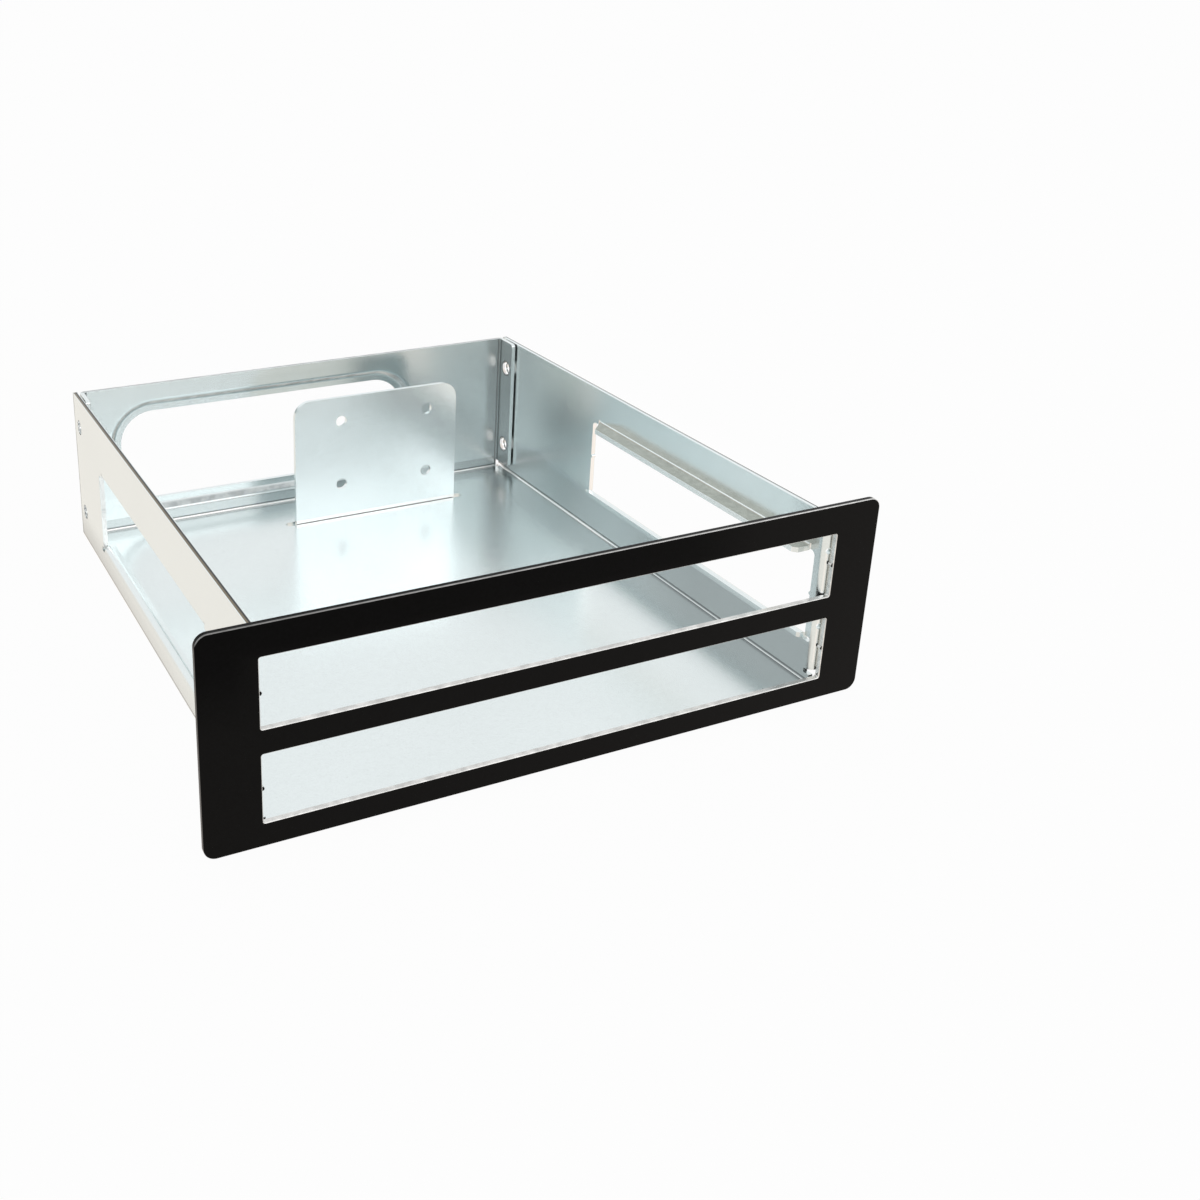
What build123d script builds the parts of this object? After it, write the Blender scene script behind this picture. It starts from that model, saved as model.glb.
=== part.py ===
from build123d import *

import os

os.makedirs("parts", exist_ok=True)

# An open tray for two slim optical drives: a folded galvanised tray, a gloss black front plate on
# its two ears, and an upright plate at the rear that comes up through a slot in the floor.
# Millimetres. X runs across the front, Y from the front plate to the rear, Z up from the table.
# The origin is under the middle of the whole part.

# The drive that the bracket is made round
drive_width = 128.0
drive_depth = 128.0
drive_side_gap = 0.7
drive_end_gap = 0.3

# Sheet and folds
sheet = 1.2
bend_radius = 0.6
fold_overlap = 0.5

# Front plate
bezel_width = 155.0
bezel_height = 47.5
bezel_sheet = 1.2
bezel_corner = 2.6
bezel_edge = 0.25
slot_width = 132.0
slot_height = 15.0
slot_pitch = 20.4
slot_x = 0.4
lower_slot_bottom = 5.2
slot_corner = 0.4
nib_radius = 0.45

# Tray
tray_depth = 146.5
floor_height = 2.3
wall_top = 44.7
corner_relief = 1.0
flange_depth = 8.4
flange_gap = 0.4
flange_corner = 1.0
flange_lift = 2.2

# Ears that carry the front plate, and the tape between them
ear_margin = 2.0
ear_lift = 3.0
ear_relief = 1.0
ear_corner = 1.5
ear_hole_diameter = 1.5
ear_hole_from_wall = 0.3
ear_hole_levels = (17.6, 36.0)
tape_thickness = 0.3
tape_margin = 0.8

# Side windows, measured from the face of the front plate
window_length = 90.4
window_height = 19.6
right_window_front = 4.2
right_window_bottom = 15.0
left_window_front = 31.2
left_window_bottom = 10.4
window_top_corner = 1.2
window_end_rise = 0.4
notch_width = 1.2
notch_depth = 1.6
top_lip_reach = 4.2
bottom_lip_reach = 1.6
lip_relief = 0.4

# Each end of a window's lip: its gap to the end of the window, then its bevel
top_lip_front = (1.8, 1.0)
top_lip_rear = (3.1, 4.4)
bottom_lip_end = (0.4, 0.6)

# Opening in the back wall, with its stepped rim
opening_width = 92.4
opening_height = 33.7
opening_x = -11.4
opening_bottom = 6.7
opening_corner = 13.0
rim_flat = 0.3
rim_step = 1.7
rim_lip = 1.9
rim_radius = 0.9

# Holes through the corner flanges and the side walls
side_hole_diameter = 4.0
side_hole_spacing = 24.4
side_hole_bottom = 12.2
side_hole_from_back = 5.4

# Upright plate
upright_width = 49.5
upright_x = 15.0
upright_top = 39.5
upright_corner = 4.6
upright_hole_diameter = 3.2
upright_hole_spacing_x = 26.3
upright_hole_spacing_z = 18.8
upright_hole_x = 17.2
upright_hole_bottom = 13.7
foot_length = 13.0
foot_corner = 2.0
floor_slot_end_gap = 2.8
floor_slot_front_gap = 0.3
floor_slot_rear_gap = 0.3
weld_count = 3
weld_spacing = 17.0
weld_diameter = 4.0
weld_dent = 0.15
weld_from_foot_end = 4.5

# Places worked out from the sizes above
overall_depth = tray_depth + rim_step
front_y = -overall_depth / 2
rear_y = front_y + tray_depth
tray_front = front_y + bezel_sheet + tape_thickness
inner_half = drive_width / 2 + drive_side_gap
outer_half = inner_half + sheet
wall_mid = inner_half + sheet / 2
floor_top = floor_height + sheet
floor_mid = floor_height + sheet / 2
outer_bend = bend_radius + sheet
mid_bend = bend_radius + sheet / 2
ear_end = bezel_width / 2 - ear_margin
ear_bottom = floor_top + ear_lift
ear_mid = tray_front + sheet / 2
back_mid = rear_y - sheet / 2
flange_mid = inner_half - flange_gap - sheet / 2
flange_bottom = floor_top + flange_lift
flange_front = rear_y - flange_depth
back_fold_half = inner_half - bend_radius - corner_relief
side_hole_y = rear_y - side_hole_from_back
upright_front = front_y + drive_depth + drive_end_gap
upright_mid = upright_front + sheet / 2
foot_mid = floor_height - sheet / 2
foot_end = upright_front + foot_length
slot_levels = [lower_slot_bottom + slot_height / 2 + i * slot_pitch for i in range(2)]


def at_y(y):
    """The upright plane that faces the front, at a place along Y."""
    return Plane.XZ.offset(-y)


def window_outline(y_front, bottom):
    """The hole cut in a side wall before its lips are folded: Y and Z on the wall's plane."""
    cut_bottom = bottom - outer_bend
    end_top = bottom + window_height + window_end_rise
    fold_top = bottom + window_height + outer_bend
    y_rear = y_front + window_length
    fold_front = y_front + top_lip_front[0] - lip_relief
    fold_rear = y_rear - top_lip_rear[0] + lip_relief
    with BuildSketch(Plane.YZ.offset(-bezel_width)) as outline:
        with Locations(((y_front + y_rear) / 2, (cut_bottom + end_top) / 2)):
            Rectangle(y_rear - y_front, end_top - cut_bottom)
        fillet(outline.vertices().group_by(Axis.Y)[-1], radius=window_top_corner)
        with Locations(((fold_front + fold_rear) / 2, (bottom + fold_top) / 2)):
            Rectangle(fold_rear - fold_front, fold_top - bottom)
        with Locations(((y_front + y_rear) / 2, cut_bottom + notch_width / 2)):
            SlotOverall(y_rear - y_front + 2 * notch_depth, notch_width)
        with Locations(
            (y_front, bottom + window_height / 2),
            (y_rear, bottom + window_height / 2),
        ):
            Circle(nib_radius, mode=Mode.SUBTRACT)
    return outline.sketch


def window_lip(side, y_front, edge, turn, reach, front_end, rear_end):
    """A lip folded inward along a window: side is -1 or 1, turn is 1 at the top and -1 below."""
    flat = edge + turn * sheet / 2
    root = edge + turn * (outer_bend + fold_overlap)
    tip = side * (inner_half - reach)
    with BuildPart() as lip:
        with BuildSketch(at_y(y_front + front_end[0])):
            with BuildLine() as fold:
                FilletPolyline((side * wall_mid, root), (side * wall_mid, flat), (tip, flat), radius=mid_bend)
            trace(fold.line, line_width=sheet)
        extrude(amount=-(window_length - front_end[0] - rear_end[0]))
        for place, bevel in ((0, front_end[1]), (-1, rear_end[1])):
            corners = lip.edges().filter_by(Axis.Z).sort_by(Axis.X)
            free_corners = corners[:2] if side > 0 else corners[-2:]
            chamfer(free_corners.sort_by(Axis.Y)[place], length=bevel)
    return lip.part


def half_rim():
    """Half of the stepped rim round the back opening, from its middle to one side."""
    with BuildPart() as rim:
        with BuildLine(at_y(back_mid)) as round_opening:
            FilletPolyline(
                (opening_x, opening_bottom),
                (opening_x + opening_width / 2, opening_bottom),
                (opening_x + opening_width / 2, opening_bottom + opening_height),
                (opening_x, opening_bottom + opening_height),
                radius=opening_corner,
            )
        start = Plane(origin=round_opening.line @ 0, x_dir=(0, 0, 1), z_dir=(1, 0, 0))
        with BuildSketch(start) as rim_section:
            with BuildLine() as step:
                FilletPolyline(
                    (-fold_overlap, 0),
                    (rim_flat, 0),
                    (rim_flat + rim_step, -rim_step),
                    (rim_flat + rim_step + rim_lip, -rim_step),
                    radius=rim_radius,
                )
            trace(step.line, line_width=sheet)
        sweep(sections=rim_section.sketch, path=round_opening.line)
    return rim.part


# Front plate: one flat sheet, black and glossy all over, with a drive slot above another.
with BuildPart() as bezel:
    with BuildSketch(at_y(front_y)):
        with Locations((0, bezel_height / 2)):
            RectangleRounded(bezel_width, bezel_height, bezel_corner)
    extrude(amount=-bezel_sheet)
    with BuildSketch(at_y(front_y)):
        with Locations(*[(slot_x, level) for level in slot_levels]):
            RectangleRounded(slot_width, slot_height, slot_corner)
    extrude(amount=-bezel_sheet, mode=Mode.SUBTRACT)
    fillet(bezel.faces().sort_by(Axis.Y)[0].edges(), radius=bezel_edge)
    with BuildSketch(at_y(front_y + bezel_edge)):
        slot_ends = [slot_x + side * slot_width / 2 for side in (-1, 1)]
        with Locations(*[(end, level) for end in slot_ends for level in slot_levels]):
            Circle(nib_radius)
    extrude(amount=-(bezel_sheet - bezel_edge))
bezel.part.label = "bezel"

# Tray: one blank folded up at both sides and at the back, with ears turned outward at the front.
with BuildPart() as tray:
    # Floor and side walls
    with BuildSketch(at_y(tray_front)):
        with BuildLine() as channel:
            FilletPolyline(
                (-wall_mid, wall_top),
                (-wall_mid, floor_mid),
                (wall_mid, floor_mid),
                (wall_mid, wall_top),
                radius=mid_bend,
            )
        trace(channel.line, line_width=sheet)
    extrude(amount=-(rear_y - tray_front))

    # Room for the ears at the front of each wall, and for the fold of the back wall in the floor
    with BuildSketch(Plane.XY.offset(ear_bottom - ear_relief)):
        with Locations((0, tray_front + outer_bend / 2)):
            Rectangle(bezel_width, outer_bend)
    extrude(amount=bezel_height, mode=Mode.SUBTRACT)
    with BuildSketch(Plane.XY.offset(floor_height)):
        with Locations((0, rear_y - outer_bend / 2)):
            Rectangle(2 * (inner_half - bend_radius), outer_bend)
    extrude(amount=sheet, mode=Mode.SUBTRACT)

    # Ears
    with BuildSketch(Plane.XY.offset(ear_bottom)):
        for side in (-1, 1):
            with BuildLine() as ear:
                FilletPolyline(
                    (side * wall_mid, tray_front + outer_bend + fold_overlap),
                    (side * wall_mid, ear_mid),
                    (side * ear_end, ear_mid),
                    radius=mid_bend,
                )
            trace(ear.line, line_width=sheet)
    extrude(amount=wall_top - ear_bottom)
    ear_edges = tray.edges().filter_by(Axis.Y).filter_by(lambda edge: abs(edge.center().X) > ear_end - sheet)
    fillet(ear_edges, radius=ear_corner)

    # A small hole through each ear's bend, level with the upper part of each drive slot
    with BuildSketch(at_y(tray_front)):
        hole_x = outer_half + ear_hole_from_wall
        with Locations(*[(side * hole_x, level) for side in (-1, 1) for level in ear_hole_levels]):
            Circle(ear_hole_diameter / 2)
    extrude(amount=-outer_bend, mode=Mode.SUBTRACT)

    # Back wall, folded up from the floor
    with BuildSketch(Plane.YZ.offset(-back_fold_half)):
        with BuildLine() as back_fold:
            FilletPolyline(
                (rear_y - outer_bend - fold_overlap, floor_mid),
                (back_mid, floor_mid),
                (back_mid, flange_bottom + fold_overlap),
                radius=mid_bend,
            )
        trace(back_fold.line, line_width=sheet)
    extrude(amount=2 * back_fold_half)

    # The rest of the back wall, with its two corner flanges along the side walls
    with BuildSketch(Plane.XY.offset(flange_bottom)):
        with BuildLine() as back:
            FilletPolyline(
                (-flange_mid, flange_front),
                (-flange_mid, back_mid),
                (flange_mid, back_mid),
                (flange_mid, flange_front),
                radius=mid_bend,
            )
        trace(back.line, line_width=sheet)
    extrude(amount=wall_top - flange_bottom)
    flange_edges = tray.edges().filter_by(Axis.X).filter_by(
        lambda edge: abs(edge.center().Y - flange_front) < bend_radius and abs(edge.center().X) < inner_half
    )
    fillet(flange_edges.filter_by(lambda edge: edge.center().Z > floor_top), radius=flange_corner)

    # Opening in the back wall and its stepped rim
    with BuildSketch(at_y(rear_y - sheet)):
        with Locations((opening_x, opening_bottom + opening_height / 2)):
            RectangleRounded(opening_width, opening_height, opening_corner)
    extrude(amount=-sheet, mode=Mode.SUBTRACT)
    one_side = half_rim()
    add(one_side)
    add(one_side.mirror(Plane.YZ.offset(opening_x)))

    # Side windows: cut, then their folded lips
    for side, from_face, bottom in (
        (-1, left_window_front, left_window_bottom),
        (1, right_window_front, right_window_bottom),
    ):
        start = front_y + from_face
        top = bottom + window_height
        outline = window_outline(start, bottom)
        if side < 0:
            extrude(outline, amount=bezel_width, mode=Mode.SUBTRACT)
        else:
            extrude(outline.moved(Location((bezel_width, 0, 0))), amount=bezel_width, mode=Mode.SUBTRACT)
        add(window_lip(side, start, top, 1, top_lip_reach, top_lip_front, top_lip_rear))
        add(window_lip(side, start, bottom, -1, bottom_lip_reach, bottom_lip_end, bottom_lip_end))

    # Holes through the corner flanges and walls, both sides in line
    with BuildSketch(Plane.YZ.offset(-outer_half)):
        with Locations(*[(side_hole_y, side_hole_bottom + i * side_hole_spacing) for i in range(2)]):
            Circle(side_hole_diameter / 2)
    extrude(amount=2 * outer_half, mode=Mode.SUBTRACT)

    # Slot in the floor that the upright plate comes up through
    slot_front = upright_front - floor_slot_front_gap
    slot_rear = upright_front + sheet + bend_radius + floor_slot_rear_gap
    with BuildSketch(Plane.XY.offset(floor_height)):
        with Locations((upright_x, (slot_front + slot_rear) / 2)):
            SlotOverall(upright_width + 2 * floor_slot_end_gap, slot_rear - slot_front)
    extrude(amount=sheet, mode=Mode.SUBTRACT)
tray.part.label = "tray"

# Upright plate with its foot under the floor, spot-welded there
with BuildPart() as upright_bracket:
    with BuildSketch(Plane.YZ.offset(upright_x - upright_width / 2)):
        with BuildLine() as upright_fold:
            FilletPolyline(
                (upright_mid, upright_top),
                (upright_mid, foot_mid),
                (foot_end, foot_mid),
                radius=mid_bend,
            )
        trace(upright_fold.line, line_width=sheet)
    extrude(amount=upright_width)
    fillet(upright_bracket.edges().filter_by(Axis.Y).group_by(Axis.Z)[-1], radius=upright_corner)
    fillet(upright_bracket.edges().filter_by(Axis.Z).group_by(Axis.Y)[-1], radius=foot_corner)
    with BuildSketch(at_y(upright_front)):
        with Locations((upright_hole_x, upright_hole_bottom + upright_hole_spacing_z / 2)):
            with GridLocations(upright_hole_spacing_x, upright_hole_spacing_z, 2, 2):
                Circle(upright_hole_diameter / 2)
    extrude(amount=-sheet, mode=Mode.SUBTRACT)
    with BuildSketch(Plane.XY.offset(floor_height - sheet)):
        with Locations((upright_x, foot_end - weld_from_foot_end)):
            with GridLocations(weld_spacing, 1, weld_count, 1):
                Circle(weld_diameter / 2)
    extrude(amount=weld_dent, mode=Mode.SUBTRACT)
upright_bracket.part.label = "upright_bracket"

# Adhesive tape between each ear and the back of the front plate
tapes = {}
for name, side in (("bezel_tape_left", -1), ("bezel_tape_right", 1)):
    tape_inner = inner_half + outer_bend
    tape_outer = ear_end - tape_margin
    tape_low = ear_bottom + tape_margin
    tape_high = wall_top - tape_margin
    with BuildPart() as tape:
        with BuildSketch(at_y(front_y + bezel_sheet)):
            with Locations((side * (tape_inner + tape_outer) / 2, (tape_low + tape_high) / 2)):
                Rectangle(tape_outer - tape_inner, tape_high - tape_low)
        extrude(amount=-tape_thickness)
    tape.part.label = name
    tapes[name] = tape.part

export_step(bezel.part, "parts/bezel.step")
export_step(tray.part, "parts/tray.step")
export_step(upright_bracket.part, "parts/upright_bracket.step")
for name, strip in tapes.items():
    export_step(strip, f"parts/{name}.step")
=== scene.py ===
import bpy
from mathutils import Matrix, Vector

MM = 0.001

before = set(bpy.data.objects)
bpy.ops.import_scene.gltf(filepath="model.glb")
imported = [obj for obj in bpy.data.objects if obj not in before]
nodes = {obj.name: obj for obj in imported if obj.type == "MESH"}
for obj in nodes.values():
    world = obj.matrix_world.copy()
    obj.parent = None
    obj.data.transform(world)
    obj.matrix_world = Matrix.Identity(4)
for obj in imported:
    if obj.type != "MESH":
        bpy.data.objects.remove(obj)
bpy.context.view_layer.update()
scene = bpy.context.scene

# Camera, solved from the straight edges of the photograph
EYE_MM = (-137.389, -285.672, 167.605)
RIGHT = (0.910406, -0.413666, 0.006413)
DOWN = (-0.141574, -0.326068, -0.934685)
FORWARD = (0.388739, 0.850035, -0.355419)
FOCAL_PX = 1409.295
CENTRE_PX = (387.04, 437.735)
IMAGE_PX = 1200
SENSOR_MM = 36
CLIP_NEAR = 0.01
CLIP_FAR = 20

camera_data = bpy.data.cameras.new("camera")
camera_data.sensor_width = SENSOR_MM
camera_data.lens = FOCAL_PX / IMAGE_PX * SENSOR_MM
camera_data.shift_x = (IMAGE_PX / 2 - CENTRE_PX[0]) / IMAGE_PX
camera_data.shift_y = -(IMAGE_PX / 2 - CENTRE_PX[1]) / IMAGE_PX
camera_data.clip_start = CLIP_NEAR
camera_data.clip_end = CLIP_FAR
camera = bpy.data.objects.new("camera", camera_data)
scene.collection.objects.link(camera)
rotation = Matrix((RIGHT, tuple(-v for v in DOWN), tuple(-v for v in FORWARD))).transposed()
camera.matrix_world = Matrix.Translation(Vector(EYE_MM) * MM) @ rotation.to_4x4()
scene.camera = camera


class Tree:
    """A node tree and short calls that add its nodes. Edges along the part are in millimetres."""

    def __init__(self, tree):
        self.tree = tree

    def node(self, kind, inputs=None, **props):
        n = self.tree.nodes.new(kind)
        for key, value in props.items():
            setattr(n, key, value)
        for key, value in (inputs or {}).items():
            self.feed(n.inputs[key], value)
        return n

    def feed(self, socket, value):
        if isinstance(value, bpy.types.NodeSocket):
            self.tree.links.new(value, socket)
        else:
            socket.default_value = value

    def math(self, op, a, b=0.0, clamp=False):
        return self.node("ShaderNodeMath", {0: a, 1: b}, operation=op, use_clamp=clamp).outputs[0]

    def product(self, first, *others):
        for other in others:
            first = self.math("MULTIPLY", first, other)
        return first

    def size(self, value):
        return self.math("ABSOLUTE", value)

    def larger(self, a, b):
        return self.math("MAXIMUM", a, b)

    def span(self, value, edges, ends, unit=1.0):
        """Go from one end value to the other between two edges, and stay there outside them."""
        n = self.node("ShaderNodeMapRange", {"Value": value}, clamp=True)
        for key, number in zip(("From Min", "From Max"), edges):
            self.feed(n.inputs[key], number * unit)
        for key, number in zip(("To Min", "To Max"), ends):
            self.feed(n.inputs[key], number)
        return n.outputs["Result"]

    def grow(self, value, edges):
        return self.span(value, edges, (0.0, 1.0))

    def fade(self, value, edges):
        return self.span(value, edges, (1.0, 0.0))

    def along(self, place, edges, ends):
        return self.span(place, edges, ends, MM)

    def above(self, place, edges):
        return self.along(place, edges, (0.0, 1.0))

    def below(self, place, edges):
        return self.along(place, edges, (1.0, 0.0))

    def band(self, place, edges):
        """1 in a band: the four edges say where it starts, is full, starts to fade and has gone."""
        return self.product(self.above(place, edges[:2]), self.below(place, edges[2:]))

    def dim(self, level, mask, share):
        """Lower a level to a share of itself where the mask is 1."""
        return self.product(level, self.span(mask, (0.0, 1.0), (1.0, share)))

    def lift(self, level, mask, change):
        """Change a level by a share of itself where the mask is 1."""
        return self.product(level, self.math("ADD", 1.0, self.product(mask, change)))

    def grey(self, level):
        return self.node("ShaderNodeCombineColor", {0: level, 1: level, 2: level}).outputs[0]

    def mix(self, fac, a, b, blend="MIX"):
        n = self.node("ShaderNodeMix", data_type="RGBA", blend_type=blend)
        self.feed(n.inputs[0], fac)
        self.feed(n.inputs[6], a)
        self.feed(n.inputs[7], b)
        return n.outputs[2]

    def ramp(self, value, stops):
        n = self.node("ShaderNodeValToRGB", {"Fac": value})
        for element, (at, colour) in zip(n.color_ramp.elements, stops):
            element.position = at
            element.color = (*colour, 1)
        for at, colour in stops[2:]:
            n.color_ramp.elements.new(at).color = (*colour, 1)
        return n.outputs["Color"]

    def place(self):
        return self.node("ShaderNodeTexCoord").outputs["Object"]

    def facing(self):
        return self.node("ShaderNodeTexCoord").outputs["Normal"]

    def split(self, vector):
        n = self.node("ShaderNodeSeparateXYZ", {"Vector": vector})
        return n.outputs[0], n.outputs[1], n.outputs[2]

    def noise(self, scale, detail, rough, distortion=0.0):
        inputs = {"Vector": self.place(), "Scale": scale, "Detail": detail}
        inputs.update({"Roughness": rough, "Distortion": distortion})
        return self.node("ShaderNodeTexNoise", inputs).outputs["Fac"]

    def bump(self, height, strength, distance):
        inputs = {"Strength": strength, "Distance": distance, "Height": height}
        return self.node("ShaderNodeBump", inputs).outputs["Normal"]

    def direct_rays(self, paths, dim, bright):
        """One level for camera, glossy and transmission rays, and another for the rest."""
        seen = self.larger(paths["Is Camera Ray"], paths["Is Glossy Ray"])
        return self.span(self.larger(seen, paths["Is Transmission Ray"]), (0.0, 1.0), (dim, bright))


class Mat(Tree):
    """A new material with its Principled shader."""

    def __init__(self, name):
        self.mat = bpy.data.materials.new(name)
        self.mat.use_nodes = True
        super().__init__(self.mat.node_tree)
        self.shader = self.tree.nodes["Principled BSDF"]

    def surface(self, name, value):
        self.feed(self.shader.inputs[name], value)


# Zinc: noises as scale, detail, roughness and distortion, and how far each one changes the colour
ZINC = (0.79, 0.85, 0.855)
ZINC_PLATE = (0.79, 0.85, 0.86)
ZINC_ROUGH = 0.24
SPECKLE = (2400.0, 2.0, 0.6)
SPECKLE_SHARE = 0.7
MOTTLE = (620.0, 3.0, 0.55, 0.3)
MOTTLE_SHARE = 0.3
GRAIN_SHADES = ((0.30, 0.955), (0.50, 1.0), (0.70, 1.025))
GRAIN_RANGE = (0.3, 0.7)
GRAIN_POLISH = (ZINC_ROUGH - 0.015, ZINC_ROUGH + 0.02)
GRAIN_BUMP = (0.012, 0.04 * MM)
CLOUD = (26.0, 3.0, 0.5)
CLOUD_RANGE = (0.3, 0.7)
CLOUD_SHADES = (0.985, 1.01)
PITS = (1250.0, 2.0, 0.5)
PITS_RANGE = (0.72, 0.80)
PITS_SHADES = (1.0, 0.88)
# Painted shade in creases and corners, from ambient occlusion
CREASE_REACH = 0.9 * MM
CREASE_SAMPLES = 8
CREASE_RANGE = (0.40, 0.80)
CREASE_SHADES = (0.80, 1.0)

# Edges between the ways that a surface can face, as parts of its normal
LEVEL_FACE = (0.85, 0.95)
NOT_LEVEL = (0.95, 0.99)
LIP_FACE = (0.5, 0.8)
SIDE_FACE = (0.6, 0.9)
END_FACE = (0.8, 0.95)
NOT_BACK_FACE = (0.80, 0.97)
CORNER_FACE = (0.45, 0.55)
NOT_TOP_FACE = (0.5, 0.6)
PLATE_FACE = (-0.95, -0.90)

# Floor-wall folds: painted shade above a line that is a painted highlight behind and painted shade in
# front
FOLD_Z = (3.3, 3.4, 4.6, 4.8)
FOLD_FRONT_Y = (-2.0, 22.0)
FOLD_SHADE_Z = (3.9, 4.0, 4.3, 4.4)
FOLD_SHADE = 0.45
LINE_TOP_Z = (3.9, 4.0)
THIN_LINE_TOP_Z = (3.55, 3.62)
THIN_LINE_SHADE = 0.10

# Painted shade as a dark break along the cut top of the side walls, beside a brown line
CUT_TOP_Z = (44.2, 44.4)
LEFT_BREAK_X = (-65.55, -65.45, -64.90, -64.85)
RIGHT_BREAK_X = (65.55, 65.65, 66.0, 66.1)
BREAK_SHADE = 0.06
BROWN_BREAK_X = (-65.75, -65.70, -65.30, -65.25)
BROWN = (0.20, 0.17, 0.12, 1)

# Painted shade on the foot inside the side walls, and painted light and shade on their outer faces
FOOT_TOP_Z = (12.5, 16.5)
FOOT_SIDE = (62.0, 63.0, 65.0, 65.2)
FOOT_Y = (-30.0, 40.0)
FOOT_REAR_SHARE = 0.35
FOOT_SHADE = 0.55
OUTSIDE = (65.6, 65.8)
OUTSIDE_FRONT_Y = (-71.5, -71.0)
OUTSIDE_Z = (3.5, 11.0)
OUTSIDE_CHANGES = (-0.12, 0.045)
OUTSIDE_FOOT_Z = (4.0, 13.0)
OUTSIDE_REAR_Y = (-20.0, 60.0)
OUTSIDE_REAR_CHANGE = -0.24

# Painted light on the inner face of the right wall, turning to painted shade at its front end
RIGHT_WALL_X = (64.5, 64.6, 64.8, 64.9)
RIGHT_WALL_Z = (12.5, 22.0)
RIGHT_WALL_REAR_Y = (30.0, 60.0)
RIGHT_WALL_CHANGES = (0.14, 0.06)
RIGHT_WALL_FRONT_Y = (-69.0, -60.0)
RIGHT_WALL_FRONT_SHARE = -1.4

# The rear corners: painted shade as a dark line along each bend, and painted shade on the flange
CORNER_SIDE = (62.4, 62.5, 62.9, 63.0)
CORNER_Y = (70.3, 70.5)
CORNER_SHADE = 0.35
FLANGE_SIDE = (62.9, 63.0, 63.2, 63.3)
FLANGE_Y = (63.5, 64.0)
FLANGE_SHADE = 0.64

# Back wall: mottled painted shade on the step round its opening, painted shade on the strip under it,
# lighter left, darker right
STEP_Y = (71.30, 71.55, 72.4, 72.9)
STEP_MOTTLE = (300.0, 3.0, 0.6)
STEP_MOTTLE_RANGE = (0.35, 0.60)
STEP_MOTTLE_ENDS = (0.55, 1.0)
STEP_SHADE = 0.55
BACK_FACE_Y = (71.1, 71.15, 71.25, 71.3)
UNDER_TOP_Z = (6.6, 6.8)
UNDER_SHADE = 0.76
BACK_X = (-50.0, 50.0)
BACK_CHANGES = (0.05, -0.14)

# The upright plate: its front face, painted light on its right third, painted shade low down and a painted
# highlight at its foot
PLATE_FACE_Y = (54.1, 54.15, 54.25, 54.3)
PLATE_RIGHT_X = (20.0, 38.0)
PLATE_RIGHT_CHANGE = 0.13
PLATE_SLOT_Z = (3.4, 3.6)
PLATE_SLOT_SHADE = 0.12
PLATE_LINE_Z = (3.6, 3.7, 4.4, 4.7)

# Painted shade: the window lips' upper faces are painted a mottled dark grey-brown
LIP_SIDE = (59.8, 60.0, 65.5, 65.7)
LIP_Z = (29.0, 29.2, 37.8, 38.0)
LIP_SHADES = ((0.35, (0.36, 0.365, 0.325)), (0.65, (0.45, 0.455, 0.405)))

# The punched holes in the rear corners: a painted highlight inside, with a ring of painted shade round
# each
HOLE_Y = 67.0 * MM
HOLE_MIDDLE_Z = 24.4 * MM
HOLE_FROM_MIDDLE = 12.2 * MM
HOLE_RADIUS = (2.03, 2.08)
HOLE_SIDE = (62.8, 62.9)
HOLE_WALL_SIDE = (63.7, 63.9)
HOLE_WALL_SHADES = (0.80, 0.98)
HOLE_POLISH = 0.5
RING_RADIUS = (2.03, 2.08, 2.3, 2.4)
RING_SIDE = (62.8, 62.9, 63.3, 63.4)
RING = (0.16, 0.17, 0.17, 1)

# Painted highlight in near-white: on the bare cut edges of the windows and their lips, a fold line and the
# plate's foot
HIGHLIGHT_WHITE = (0.97, 0.97, 0.96, 1)
LIP_TIP_SIDE = (60.3, 60.4, 60.55, 60.6)
WINDOW_END_SIDE = (64.6, 64.7, 65.8, 65.9)
WINDOW_Z = (8.0, 8.5, 36.2, 36.6)
WINDOW_REAR_Y = (60.0, 61.0)


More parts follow.
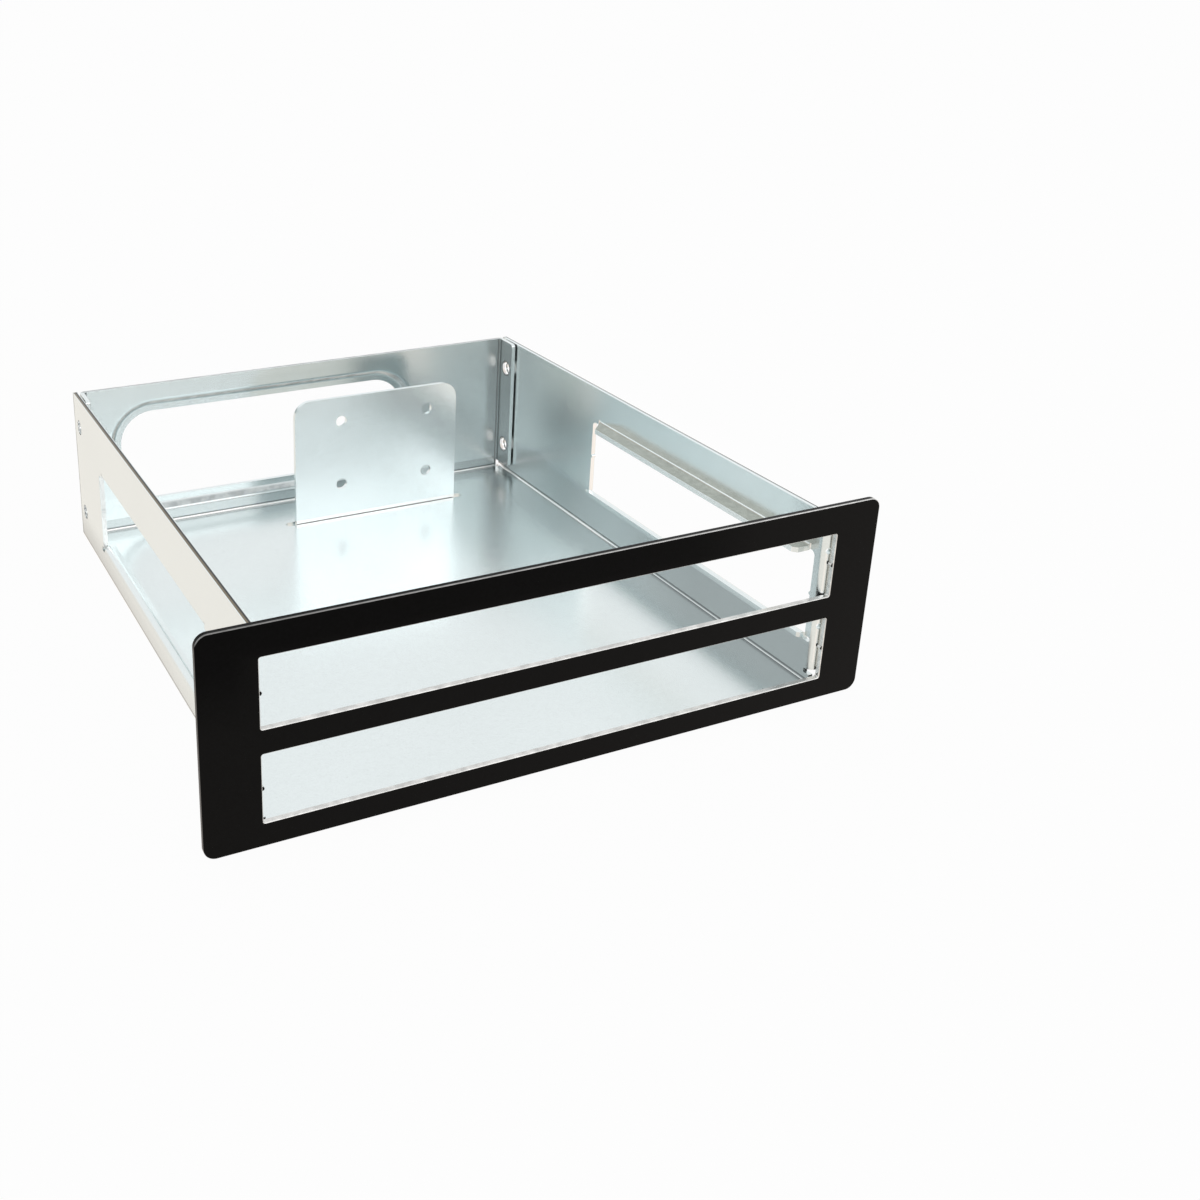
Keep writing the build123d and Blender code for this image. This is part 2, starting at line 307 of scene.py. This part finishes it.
def galvanised(name, base):
    """Smooth zinc-coated steel: fine speckle, soft clouds, a few pits; painted shade in the folds, painted
    light and shade by place.
    """
    m = Mat(name)
    mottle = m.noise(*MOTTLE)
    grain = m.math("ADD", m.product(m.noise(*SPECKLE), SPECKLE_SHARE), m.product(mottle, MOTTLE_SHARE))
    shade = m.ramp(grain, [(at, [min(1, c * share) for c in base]) for at, share in GRAIN_SHADES])
    level = m.product(
        m.span(m.noise(*CLOUD), CLOUD_RANGE, CLOUD_SHADES),
        m.span(m.noise(*PITS), PITS_RANGE, PITS_SHADES),
    )
    # Painted shade: ambient occlusion darkens the colour in creases
    crease = m.node("ShaderNodeAmbientOcclusion", {"Distance": CREASE_REACH}, samples=CREASE_SAMPLES)
    level = m.product(level, m.span(crease.outputs["AO"], CREASE_RANGE, CREASE_SHADES))
    x, y, z = m.split(m.place())
    nx, ny, nz = m.split(m.facing())
    side = m.size(x)

    # Painted shade: a dark band just above each floor-wall fold
    at_fold = m.product(m.band(z, FOLD_Z), m.fade(nz, NOT_LEVEL))
    to_front = m.below(y, FOLD_FRONT_Y)
    level = m.dim(level, m.product(at_fold, m.band(z, FOLD_SHADE_Z)), FOLD_SHADE)
    line = m.product(at_fold, m.below(z, LINE_TOP_Z))
    # Painted shade: a dark line along the folds towards the front
    thin_line = m.product(line, to_front, m.below(z, THIN_LINE_TOP_Z))
    level = m.dim(level, thin_line, THIN_LINE_SHADE)

    # Painted shade: a dark break on the cut top of each side wall; a brown line beside it on the left
    cut_top = m.product(m.grow(nz, LEVEL_FACE), m.above(z, CUT_TOP_Z))
    brown = m.product(cut_top, m.band(x, BROWN_BREAK_X))
    dark_break = m.product(cut_top, m.larger(m.band(x, LEFT_BREAK_X), m.band(x, RIGHT_BREAK_X)))
    level = m.dim(level, dark_break, BREAK_SHADE)

    # Painted shade low on the inner faces of the side walls, most towards the front
    foot = m.product(m.grow(m.size(nx), SIDE_FACE), m.below(z, FOOT_TOP_Z), m.band(side, FOOT_SIDE))
    foot = m.product(foot, m.along(y, FOOT_Y, (1.0, FOOT_REAR_SHARE)))
    level = m.dim(level, foot, FOOT_SHADE)

    # Painted light and shade on the outer side faces: darker low down and at the rear foot, lighter higher
    # up
    outside = m.product(m.above(side, OUTSIDE), m.above(y, OUTSIDE_FRONT_Y), m.grow(m.size(nx), SIDE_FACE))
    rear_change = m.along(y, OUTSIDE_REAR_Y, (0.0, OUTSIDE_REAR_CHANGE))
    rear_change = m.product(rear_change, m.below(z, OUTSIDE_FOOT_Z))
    change = m.math("ADD", m.along(z, OUTSIDE_Z, OUTSIDE_CHANGES), rear_change)
    level = m.lift(level, outside, change)

    # Painted light on the right wall's inner face; painted shade at its front end
    right_wall = m.product(m.band(x, RIGHT_WALL_X), m.above(z, RIGHT_WALL_Z))
    change = m.product(
        m.along(y, RIGHT_WALL_REAR_Y, RIGHT_WALL_CHANGES),
        m.along(y, RIGHT_WALL_FRONT_Y, (RIGHT_WALL_FRONT_SHARE, 1.0)),
    )
    level = m.lift(level, right_wall, change)

    # Painted shade along the bends of the rear corners
    corner = m.product(m.band(side, CORNER_SIDE), m.above(y, CORNER_Y))
    corner = m.product(corner, m.grow(m.size(ny), CORNER_FACE), m.fade(nz, NOT_TOP_FACE))
    level = m.dim(level, corner, CORNER_SHADE)
    # Painted shade on the corner flanges
    level = m.dim(level, m.product(m.band(side, FLANGE_SIDE), m.above(y, FLANGE_Y)), FLANGE_SHADE)

    # Painted shade, mottled, on the sloped faces of the step round the opening
    step = m.product(m.band(y, STEP_Y), m.fade(m.size(ny), NOT_BACK_FACE))
    step = m.product(step, m.span(m.noise(*STEP_MOTTLE), STEP_MOTTLE_RANGE, STEP_MOTTLE_ENDS))
    level = m.dim(level, step, STEP_SHADE)
    # Painted shade on the strip under the opening; painted light on the left turning to painted shade on
    # the right
    back_face = m.band(y, BACK_FACE_Y)
    level = m.dim(level, m.product(back_face, m.below(z, UNDER_TOP_Z)), UNDER_SHADE)
    level = m.lift(level, back_face, m.along(x, BACK_X, BACK_CHANGES))

    on_plate = m.product(m.band(y, PLATE_FACE_Y), m.fade(ny, PLATE_FACE))
    # Painted light on the plate's right third; painted shade where it goes down into the floor
    level = m.lift(level, on_plate, m.along(x, PLATE_RIGHT_X, (0.0, PLATE_RIGHT_CHANGE)))
    level = m.dim(level, m.product(on_plate, m.below(z, PLATE_SLOT_Z)), PLATE_SLOT_SHADE)

    colour = m.mix(1.0, shade, m.grey(level), "MULTIPLY")
    # Painted highlight: a near-white line at the plate's foot
    colour = m.mix(m.product(on_plate, m.band(z, PLATE_LINE_Z)), colour, HIGHLIGHT_WHITE)
    colour = m.mix(brown, colour, BROWN)
    # Painted shade on the upper faces of the window lips
    lip = m.product(m.grow(nz, LIP_FACE), m.band(side, LIP_SIDE), m.band(z, LIP_Z))
    colour = m.mix(lip, colour, m.ramp(mottle, LIP_SHADES))

    off_axis = m.math("SUBTRACT", y, HOLE_Y)
    off_level = m.math("SUBTRACT", m.size(m.math("SUBTRACT", z, HOLE_MIDDLE_Z)), HOLE_FROM_MIDDLE)
    squares = m.math("ADD", m.product(off_axis, off_axis), m.product(off_level, off_level))
    radius = m.math("SQRT", squares)
    punched = m.product(m.below(radius, HOLE_RADIUS), m.above(side, HOLE_SIDE))
    # Painted shade: a dark ring round each hole
    ring = m.product(m.band(radius, RING_RADIUS), m.band(side, RING_SIDE))
    colour = m.mix(ring, colour, RING)
    # Painted highlight: a near-white line along the folds towards the rear
    colour = m.mix(m.product(line, m.math("SUBTRACT", 1.0, to_front)), colour, HIGHLIGHT_WHITE)

    # Painted highlight on the bare cut edges of the windows and of their lips
    window_end = m.product(m.band(side, WINDOW_END_SIDE), m.grow(m.size(ny), END_FACE))
    cut = m.larger(m.band(side, LIP_TIP_SIDE), window_end)
    cut = m.product(cut, m.band(z, WINDOW_Z), m.below(y, WINDOW_REAR_Y))
    colour = m.mix(cut, colour, HIGHLIGHT_WHITE)
    # Painted highlight: the hole walls are near-white metal
    hole_wall = m.grey(m.along(side, HOLE_WALL_SIDE, HOLE_WALL_SHADES))
    m.surface("Base Color", m.mix(punched, colour, hole_wall))
    m.surface("Metallic", 1.0)
    m.surface("Roughness", m.dim(m.span(grain, GRAIN_RANGE, GRAIN_POLISH), punched, HOLE_POLISH))
    m.surface("Normal", m.bump(grain, *GRAIN_BUMP))
    return m.mat


# Black lacquer: dust, worn and bare edges carrying a painted highlight, and a calmer highlight at the
# upper left, painted by place
DUST = (1600.0, 2.0, 0.6)
LACQUER_SHADES = ((0.3, (0.0015, 0.0015, 0.0016)), (0.75, (0.003, 0.003, 0.0032)))
LACQUER_IOR = 1.17
LACQUER_WAVES = (30.0, 2.0, 0.5)
LACQUER_BUMP = (0.02, 0.5 * MM)
DUST_RANGE = (0.3, 0.8)
DUST_ROUGH = (0.05, 0.10)
CUT_FACE = (0.10, 0.25)
ROUNDED_FACE = (0.05, 0.15)
NOT_FRONT_FACE = (0.90, 0.985)
UPWARD_FACE = (0.15, 0.35)
SLOT_SIDE = (69.0, 70.0)
SLOT_Z = (3.0, 3.5, 43.0, 43.5)
UPPER_EDGE_X = (-60.0, 60.0)
UPPER_EDGE_SHARES = (0.35, 0.85)
CUT_EDGE_SHARE = 0.88
WEAR = (420.0, 3.0, 0.6)
WEAR_RANGE = (0.35, 0.65)
WEAR_SHARES = (0.75, 1.0)
WORN_EDGE_AND_HIGHLIGHT = (0.93, 0.93, 0.91, 1)
WORN_EDGE_AND_HIGHLIGHT_ROUGH = 0.2
CALM_UPPER_Z = (38.5, 42.5)
CALM_UPPER_X = (30.0, 45.0)
CALM_LEFT_Z = (26.0, 40.0)
CALM_LEFT_X = (-71.0, -64.0)
FULL_TINT = (1, 1, 1, 1)
CALM_TINT = (0.48, 0.48, 0.48, 1)


def gloss_black(name):
    """Smooth black lacquer with faint dust; worn bare cut edges in the slots, and a painted highlight on
    rounded edges.
    """
    m = Mat(name)
    dust = m.noise(*DUST)
    x, _, z = m.split(m.place())
    _, ny, nz = m.split(m.facing())
    front = m.size(ny)
    # Painted highlight: rounded edges in the slots, and rounded edges facing up, more so to the right,
    # turn to bare metal
    rounded = m.product(m.grow(front, ROUNDED_FACE), m.fade(front, NOT_FRONT_FACE))
    in_slots = m.product(m.below(m.size(x), SLOT_SIDE), m.band(z, SLOT_Z))
    upper = m.product(m.grow(nz, UPWARD_FACE), m.along(x, UPPER_EDGE_X, UPPER_EDGE_SHARES))
    bright = m.product(rounded, m.larger(in_slots, upper))
    # The flat cut edges in the slots are bare; wear thins both these and the painted highlight
    cut = m.product(m.fade(front, CUT_FACE), in_slots, CUT_EDGE_SHARE)
    wear = m.span(m.noise(*WEAR), WEAR_RANGE, WEAR_SHARES)
    worn_and_highlight = m.math("MULTIPLY", m.larger(bright, cut), wear, clamp=True)
    m.surface("Base Color", m.mix(worn_and_highlight, m.ramp(dust, LACQUER_SHADES), WORN_EDGE_AND_HIGHLIGHT))
    m.surface("Metallic", worn_and_highlight)
    rough = m.math("ADD", m.span(dust, DUST_RANGE, DUST_ROUGH), m.product(worn_and_highlight, WORN_EDGE_AND_HIGHLIGHT_ROUGH))
    m.surface("Roughness", rough)
    m.surface("IOR", LACQUER_IOR)
    # Painted shade: the reflection is dimmed by place at the upper left
    calm = m.larger(
        m.product(m.above(z, CALM_UPPER_Z), m.below(x, CALM_UPPER_X)),
        m.product(m.above(z, CALM_LEFT_Z), m.below(x, CALM_LEFT_X)),
    )
    m.surface("Specular Tint", m.mix(calm, FULL_TINT, CALM_TINT))
    m.surface("Normal", m.bump(m.noise(*LACQUER_WAVES), *LACQUER_BUMP))
    return m.mat


# Tape: thin and cream, with a fine grain
TAPE_GRAIN = (2200.0, 3.0, 0.6)
TAPE_SHADES = ((0.3, (0.76, 0.73, 0.64)), (0.7, (0.82, 0.79, 0.70)))
TAPE_ROUGH = 0.7
TAPE_BUMP = (0.2, 0.2 * MM)


def cream_tape(name):
    """Double-sided tape."""
    m = Mat(name)
    grain = m.noise(*TAPE_GRAIN)
    m.surface("Base Color", m.ramp(grain, TAPE_SHADES))
    m.surface("Roughness", TAPE_ROUGH)
    m.surface("Normal", m.bump(grain, *TAPE_BUMP))
    return m.mat


tape = cream_tape("tape")
for node, mat in (
    ("tray", galvanised("zinc_sheet", ZINC)),
    ("upright_bracket", galvanised("zinc_plate", ZINC_PLATE)),
    ("bezel", gloss_black("black_lacquer")),
    ("bezel_tape_left", tape),
    ("bezel_tape_right", tape),
):
    obj = nodes[node]
    if not obj.data.materials:
        obj.data.materials.append(mat)
    for slot in obj.material_slots:
        slot.material = mat

# Floor: pale, keeps the object's shadow, and shows white to the camera and in reflections
FLOOR_SIZE = 6.0
FLOOR_GREY = (0.86, 0.86, 0.86, 1)
FLOOR_ROUGH = 0.9
FLOOR_SPECULAR = 0.2
FLOOR_WHITE_SHARE = 0.96
FLOOR_WHITE = (1, 1, 1, 1)
FLOOR_REFLECTED = (1.0, 0.93, 0.86, 1)

floor_mat = Mat("floor_white")
floor_mat.surface("Base Color", FLOOR_GREY)
floor_mat.surface("Roughness", FLOOR_ROUGH)
floor_mat.surface("Specular IOR Level", FLOOR_SPECULAR)
rays = floor_mat.node("ShaderNodeLightPath").outputs
glow_colour = floor_mat.mix(rays["Is Glossy Ray"], FLOOR_WHITE, FLOOR_REFLECTED)
glow = floor_mat.node("ShaderNodeEmission", {"Color": glow_colour, "Strength": 1.0})
blend = floor_mat.node("ShaderNodeMixShader")
floor_mat.feed(blend.inputs[0], floor_mat.direct_rays(rays, 0.0, FLOOR_WHITE_SHARE))
floor_mat.feed(blend.inputs[1], floor_mat.shader.outputs[0])
floor_mat.feed(blend.inputs[2], glow.outputs[0])
floor_mat.feed(floor_mat.tree.nodes["Material Output"].inputs["Surface"], blend.outputs[0])

half = FLOOR_SIZE / 2
floor_mesh = bpy.data.meshes.new("floor")
floor_corners = [(-half, -half, 0), (half, -half, 0), (half, half, 0), (-half, half, 0)]
floor_mesh.from_pydata(floor_corners, [], [(0, 1, 2, 3)])
floor_mesh.materials.append(floor_mat.mat)
floor = bpy.data.objects.new("floor", floor_mesh)
scene.collection.objects.link(floor)

# The room: white all round, but duller at the front left, which the rear corner reflects
DARK_SIDE = Vector((-0.413, -0.887, 0.208)).normalized()
DARK_SIDE_RANGE = {"From Min": 0.968, "From Max": 0.992, "To Min": 1.0, "To Max": 0.40}
ROOM_LIGHT = 0.62
ROOM_WHITE = 1.0

scene.world = bpy.data.worlds.new("world")
scene.world.use_nodes = True
room = Tree(scene.world.node_tree)
direction = room.node("ShaderNodeTexCoord").outputs["Generated"]
toward = room.node("ShaderNodeVectorMath", {0: direction, 1: DARK_SIDE}, operation="DOT_PRODUCT")
gap = room.node("ShaderNodeMapRange", DARK_SIDE_RANGE, interpolation_type="SMOOTHSTEP")
room.feed(gap.inputs["Value"], toward.outputs["Value"])
rays = room.node("ShaderNodeLightPath").outputs
seen = room.larger(gap.outputs["Result"], rays["Is Camera Ray"])
strength = room.product(room.direct_rays(rays, ROOM_LIGHT, ROOM_WHITE), seen)
background = room.tree.nodes["Background"]
room.feed(background.inputs["Strength"], strength)
room.feed(background.inputs["Color"], FLOOR_WHITE)

# The soft light in front, on the right
KEY_SIZE = (1.80, 0.32)
KEY_POWER = 1.95
KEY_COLOUR = (1.0, 0.965, 0.96)
KEY_AT = Vector((0.205, -1.018, 0.60))
KEY_AIM = Vector((0, 0, 0.01))

key_data = bpy.data.lights.new("key", "AREA")
key_data.shape = "RECTANGLE"
key_data.size, key_data.size_y = KEY_SIZE
key_data.energy = KEY_POWER
key_data.color = KEY_COLOUR
key = bpy.data.objects.new("key", key_data)
scene.collection.objects.link(key)
key.location = KEY_AT
key.rotation_mode = "QUATERNION"
key.rotation_quaternion = (KEY_AIM - KEY_AT).to_track_quat("-Z", "Y")

scene.view_settings.view_transform = "Standard"
